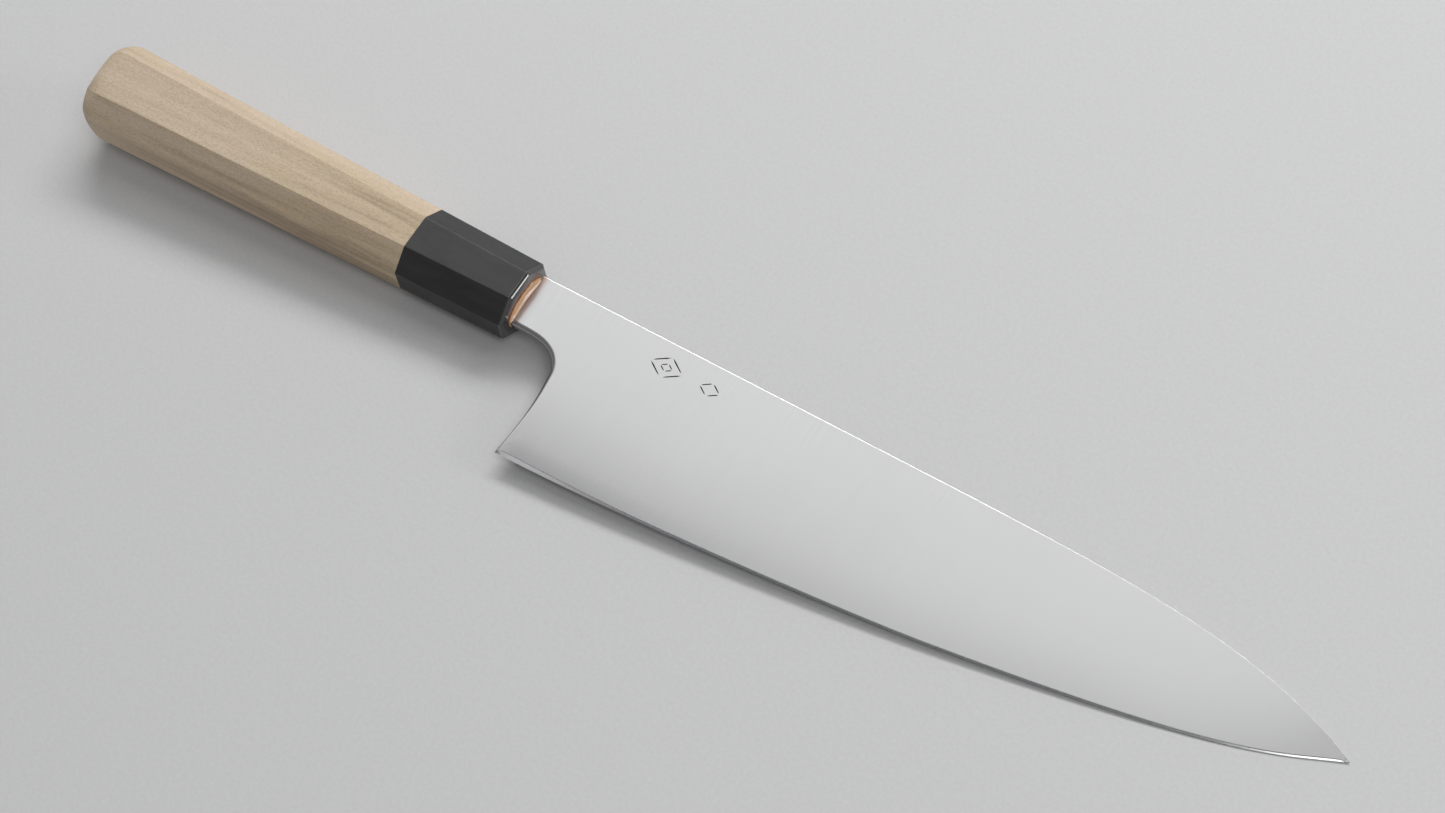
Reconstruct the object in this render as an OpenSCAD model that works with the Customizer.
// Chef knife of the gyuto pattern with an octagonal wooden handle, lying on its side.
// Each sub-part is drawn in the knife's own frame: the handle's axis is X with the tip
// at +X, the spine is at +Y, the edge at -Y, and the front face of the ferrule is X = 0.
// lying() then sets the whole knife down on the surface Z = 0 as it comes to rest there.

/* [Blade] */
// Length from the heel to the tip
blade_len = 240; // [210:1:270]
// Height of the heel below the line of the spine
heel_h = 51.7; // [46:0.1:56]
// How far the tip lies below the line of the spine
tip_drop = 17; // [12:0.1:22]
// Height of the spine above the handle's axis
spine_y = 9; // [8:0.1:9.4]
// Distance from the ferrule to the heel
heel_x = 18.6; // [16:0.1:24]
// Height of the neck
neck_h = 16.9; // [14:0.1:17]
// Thickness of the neck
neck_t = 3.2; // [2.8:0.1:3.6]
// Thickness of the spine above the heel
spine_t = 3; // [2.6:0.1:3.4]
// How much thinner the spine is at the tip's end than above the heel
distal_taper = 1.4; // [1:0.05:1.5]
// Thickness left behind the edge at the middle of the blade
edge_t = 0.3; // [0.2:0.05:0.6]

/* [Tang] */
// Length of the tang behind the ferrule's front face
tang_len = 105; // [80:1:120]
// Depth to which the full neck enters the ferrule
shoulder_depth = 3; // [2:0.5:4]
// Height of the tang at the shoulder
tang_h = 10.4; // [8:0.2:11]
// Height of the tang at its end
tang_end_h = 5; // [4:0.2:7]
// Thickness of the tang at the shoulder
tang_t = 3; // [2.6:0.1:3.2]
// Thickness of the tang at its end
tang_end_t = 2; // [1.5:0.1:2.6]
// Thickness of the resin round the tang
bedding_t = 0.6; // [0.3:0.1:1]

/* [Handle] */
// Length of the handle with its ferrule
handle_len = 148.7; // [138:0.1:160]
// Length of the ferrule
ferrule_len = 35.5; // [28:0.5:42]
// Height of the octagon at the front
front_h = 22.3; // [21.5:0.1:24]
// Thickness of the octagon at the front
front_t = 18.4; // [17.5:0.1:20]
// Distance across the octagon's bevels at the front
front_across = 20; // [19:0.1:21]
// Height of the octagon at the butt
butt_h = 27.1; // [25:0.1:29]
// Thickness of the octagon at the butt
butt_t = 20.9; // [19:0.1:23]
// Distance across the octagon's bevels at the butt
butt_across = 25.9; // [24:0.1:27]
// Slope of the bevels, measured from the blade's height
bevel_angle = 50; // [45:1:55]
// Chamfer round the ferrule's front face
front_chamfer = 0.7; // [0.4:0.1:1]
// Chamfer round the butt
butt_chamfer = 3; // [1:0.5:4]
// Radius of the domed butt
butt_dome_r = 36; // [28:1:60]

/* [Mouth and dowel] */
// Height of the ferrule's oval mouth
mouth_h = 18; // [17.8:0.1:18.2]
// Width of the ferrule's oval mouth
mouth_w = 9.6; // [9.5:0.1:12.4]
// Depth of the ferrule's front wall
mouth_depth = 4; // [4:0.5:8]
// How far the seal stands proud at its rim
seal_rim = 0.3; // [0.1:0.1:0.5]
// How far the seal stands proud against the neck
seal_rise = 0.7; // [0.5:0.1:1.2]
// Diameter of the dowel that joins the ferrule to the wooden body
dowel_d = 15; // [14:0.5:16]
// Thickness of the dowel across its two flats
dowel_t = 11.2; // [10:0.2:12]
// Distance from the ferrule's front face to the dowel's far end
dowel_end = 60; // [50:1:70]

/* [Rest] */
// Slope across the blade when the knife lies at rest
lean_slope = 0.093; // [0.09:0.001:0.11]

/* [Hidden] */
$fn = 96;
// Longer than any cut has to reach
far = 400;
// Height of the extrusions that are cut back to the thickness of a sub-part
deep = 60;
// What a cut goes past a face
over = 1;
// Steps along each stretch of curve
steps = 14;
tip = [heel_x + blade_len, spine_y - tip_drop];
heel = [heel_x, spine_y - heel_h];
neck_y = spine_y - neck_h;
mouth_y = (spine_y + neck_y) / 2;
// The neck keeps its thickness as far as neck_even and would thin to nothing at neck_end
neck_even = 1;
neck_end = 1.25 * heel_x;
// A point given as fractions of the blade's length from the heel and its height from the spine
function at(along, down) = [heel_x + along * blade_len, spine_y - down * heel_h];

// The blade's sides are planes: half the thickness is side_at_axis + side_dx x + side_dy y
side_dx = -distal_taper / 2 / blade_len;
mid_edge = at(0.545, 0.819);
side_dy = (spine_t / 2 - edge_t / 2 + side_dx * (mid_edge[0] - heel_x)) / (spine_y - mid_edge[1]);
side_at_axis = spine_t / 2 - side_dx * heel_x - side_dy * spine_y;

// A point at t on the cubic curve from a to d
function bezier(a, b, c, d, t) =
    pow(1 - t, 3) * a + 3 * pow(1 - t, 2) * t * b + 3 * (1 - t) * t * t * c + pow(t, 3) * d;
// The curve's points after a, up to d
function curve(a, b, c, d) = [for (i = [1 : steps]) bezier(a, b, c, d, i / steps)];

// Straight spine, then its drop to the tip
spine_start = at(0.38, 0);
spine_curve = curve(spine_start, at(0.705, 0), at(0.86, 0.004), tip);
// Nearly straight edge behind, then the belly up to the tip
edge_back = curve(heel, at(0.17, 0.989), at(0.449, 0.879), mid_edge);
edge_front = curve(mid_edge, at(0.912, 0.588), at(0.926, 0.462), tip);
edge_points = concat([heel], edge_back, edge_front);
// Round finger notch under the neck, then the hollow back of the heel
notch_w = 12.6;
notch_drop = 8.3;
notch_start = [heel_x - notch_w, neck_y];
notch_foot = [heel_x, neck_y - notch_drop];
notch_curve = curve(notch_start, notch_start + [11.3, 0], notch_foot + [-0.1, 1.4], notch_foot);
heel_back = curve(notch_foot, notch_foot + [0.7, -7.3], heel + [1.7, 16.6], heel);

// Half of a width of the handle's octagon at a place along X
function half_at(front, butt, x) = (front - (butt - front) * x / handle_len) / 2;

// Half the blade's thickness at a point of its outline
function half_side(p) = side_at_axis + side_dx * p[0] + side_dy * p[1];

// At rest the knife stands on the ferrule's lower front corner and on the edge.
// The surface then has the height corner_z + pitch_slope x - lean_slope (y - corner_y).
corner_z = -half_at(front_t, butt_t, -front_chamfer);
corner_y = -(half_at(front_across, butt_across, -front_chamfer) + corner_z * sin(bevel_angle))
    / cos(bevel_angle);
// The butt's outermost corner, on the spine's side next to the surface
butt_x = butt_chamfer - handle_len;
butt_y = half_at(front_h, butt_h, butt_x);
butt_z = -(half_at(front_across, butt_across, butt_x) - butt_y * cos(bevel_angle))
    / sin(bevel_angle);
pitch_slope = min([for (p = edge_points)
    (-half_side(p) - corner_z + lean_slope * (p[1] - corner_y)) / (p[0] + front_chamfer)]);
lean = atan(lean_slope);
pitch = atan(pitch_slope * cos(lean));

// Where a point of the knife is once it has been turned to its rest attitude
function turned(p) = let (
        y = p[1] * cos(lean) - p[2] * sin(lean),
        z = p[1] * sin(lean) + p[2] * cos(lean))
    [p[0] * cos(pitch) + z * sin(pitch), y, z * cos(pitch) - p[0] * sin(pitch)];
foot = turned([-front_chamfer, corner_y, corner_z]);
low_x = turned([-handle_len, 0, 0])[0];
high_x = turned([tip[0], tip[1], 0])[0];
low_y = turned([heel[0], heel[1], half_side(heel)])[1];
high_y = turned([butt_x, butt_y, butt_z])[1];

// Sets the knife down, with the origin under the middle of its outline
module lying() {
    translate([-(low_x + high_x) / 2, -(low_y + high_y) / 2, -foot[2]])
        rotate([lean, pitch, 0])
            children();
}

// Bar along X that tapers between two widths and has chamfered ends
module tapered_slab(angle, front, butt) {
    front_edge = half_at(front, butt, -front_chamfer);
    butt_edge = half_at(front, butt, butt_x);
    upper = [
        [0, front_edge - front_chamfer],
        [-front_chamfer, front_edge],
        [butt_x, butt_edge],
        [-handle_len, butt_edge - butt_chamfer]
    ];
    lower = [for (i = [3 : -1 : 0]) [upper[i][0], -upper[i][1]]];
    rotate([angle, 0, 0])
        linear_extrude(height = deep, center = true)
            polygon(concat(upper, lower));
}

// Outer form of the handle with its ferrule
module handle_form() {
    intersection() {
        tapered_slab(0, front_h, butt_h);
        tapered_slab(90, front_t, butt_t);
        tapered_slab(bevel_angle, front_across, butt_across);
        tapered_slab(-bevel_angle, front_across, butt_across);
        union() {
            translate([butt_dome_r - handle_len, 0, 0])
                sphere(r = butt_dome_r);
            translate([butt_dome_r - handle_len, -far / 2, -far / 2])
                cube(far);
        }
    }
}

// Keeps what lies between two places along X
module between(x0, x1) {
    intersection() {
        children();
        translate([x0, -far / 2, -far / 2])
            cube([x1 - x0, far, far]);
    }
}

// Tapered tang, grown on every side by an allowance
module tang_form(grow) {
    end = -tang_len - grow;
    intersection() {
        linear_extrude(height = deep, center = true)
            polygon([
                [0, tang_h / 2 + grow], [0, -tang_h / 2 - grow],
                [end, -tang_end_h / 2 - grow], [end, tang_end_h / 2 + grow]
            ]);
        rotate([90, 0, 0])
            linear_extrude(height = deep, center = true)
                polygon([
                    [0, tang_t / 2 + grow], [0, -tang_t / 2 - grow],
                    [end, -tang_end_t / 2 - grow], [end, tang_end_t / 2 + grow]
                ]);
    }
}

// Space below the plane of the blade's upper side
module under_side() {
    turn_y = atan(-side_dx);
    turn_x = atan(side_dy * cos(turn_y));
    translate([0, 0, side_at_axis])
        rotate([turn_x, turn_y, 0])
            translate([-far, -far, -far])
                cube([2 * far, 2 * far, far]);
}

// Neck of even height, as thick as neck_t at the ferrule and thinning into the blade
module neck_form() {
    rotate([90, 0, 0])
        linear_extrude(height = deep, center = true)
            polygon([
                [-shoulder_depth, neck_t / 2], [-shoulder_depth, -neck_t / 2],
                [neck_even, -neck_t / 2], [neck_end, 0], [neck_even, neck_t / 2]
            ]);
}

module blade_outline() {
    polygon(concat(
        [[-shoulder_depth, neck_y], [-shoulder_depth, spine_y], spine_start],
        spine_curve,
        [for (i = [len(edge_points) - 2 : -1 : 0]) edge_points[i]],
        [for (i = [len(heel_back) - 2 : -1 : 0]) heel_back[i]],
        [notch_foot],
        [for (i = [len(notch_curve) - 2 : -1 : 0]) notch_curve[i]],
        [notch_start]
    ));
}

module dowel_form() {
    intersection() {
        translate([-dowel_end, 0, 0])
            rotate([0, 90, 0])
                cylinder(d = dowel_d, h = dowel_end - mouth_depth);
        translate([-far / 2, -far / 2, -dowel_t / 2])
            cube([far, far, dowel_t]);
    }
}

// Oval plug that fills the mouth, from its inner end to a height above the face
module mouth_form(height) {
    translate([-mouth_depth, mouth_y, 0])
        rotate([90, 0, 90])
            linear_extrude(height = mouth_depth + height)
                polygon([for (a = [0 : 6 : 354]) [mouth_h / 2 * cos(a), mouth_w / 2 * sin(a)]]);
}

// Steel blade with its neck and hidden tang, forged in one piece
module blade() {
    color("gainsboro")
        lying()
            union() {
                intersection() {
                    linear_extrude(height = deep, center = true)
                        blade_outline();
                    union() {
                        intersection() {
                            under_side();
                            mirror([0, 0, 1])
                                under_side();
                        }
                        neck_form();
                    }
                }
                between(-far, -shoulder_depth)
                    tang_form(0);
            }
}

// Black horn collar with the oval mouth in front and the dowel's hole behind
module ferrule() {
    color("#1b1b1c")
        lying()
            difference() {
                between(-ferrule_len, far)
                    handle_form();
                mouth_form(over);
                dowel_form();
            }
}

// Pale wooden grip, hollowed for the dowel and the end of the tang
module handle_body() {
    color("#b5a48d")
        lying()
            difference() {
                between(-far, -ferrule_len)
                    handle_form();
                dowel_form();
                tang_form(bedding_t);
            }
}

// Wooden dowel glued into the ferrule and the grip, slotted for the tang
module core_dowel() {
    color("#c9b38f")
        lying()
            difference() {
                dowel_form();
                tang_form(bedding_t);
            }
}

// Cured resin that holds the tang in its slot
module tang_bedding() {
    color("#8a6f4a")
        lying()
            difference() {
                between(-far, -mouth_depth)
                    tang_form(bedding_t);
                tang_form(0);
            }
}

// Amber bead that closes the mouth round the neck
module mouth_seal() {
    rim = mouth_w / 2;
    color("#d8a67c")
        lying()
            difference() {
                intersection() {
                    mouth_form(seal_rise + over);
                    rotate([90, 0, 0])
                        linear_extrude(height = deep, center = true)
                            polygon([
                                [-mouth_depth, -rim], [seal_rim, -rim],
                                [seal_rise, -neck_t / 2], [seal_rise, neck_t / 2],
                                [seal_rim, rim], [-mouth_depth, rim]
                            ]);
                }
                translate([-shoulder_depth, neck_y, -neck_t / 2])
                    cube([shoulder_depth + over, neck_h, neck_t]);
                tang_form(0);
            }
}

blade();
ferrule();
handle_body();
core_dowel();
tang_bedding();
mouth_seal();
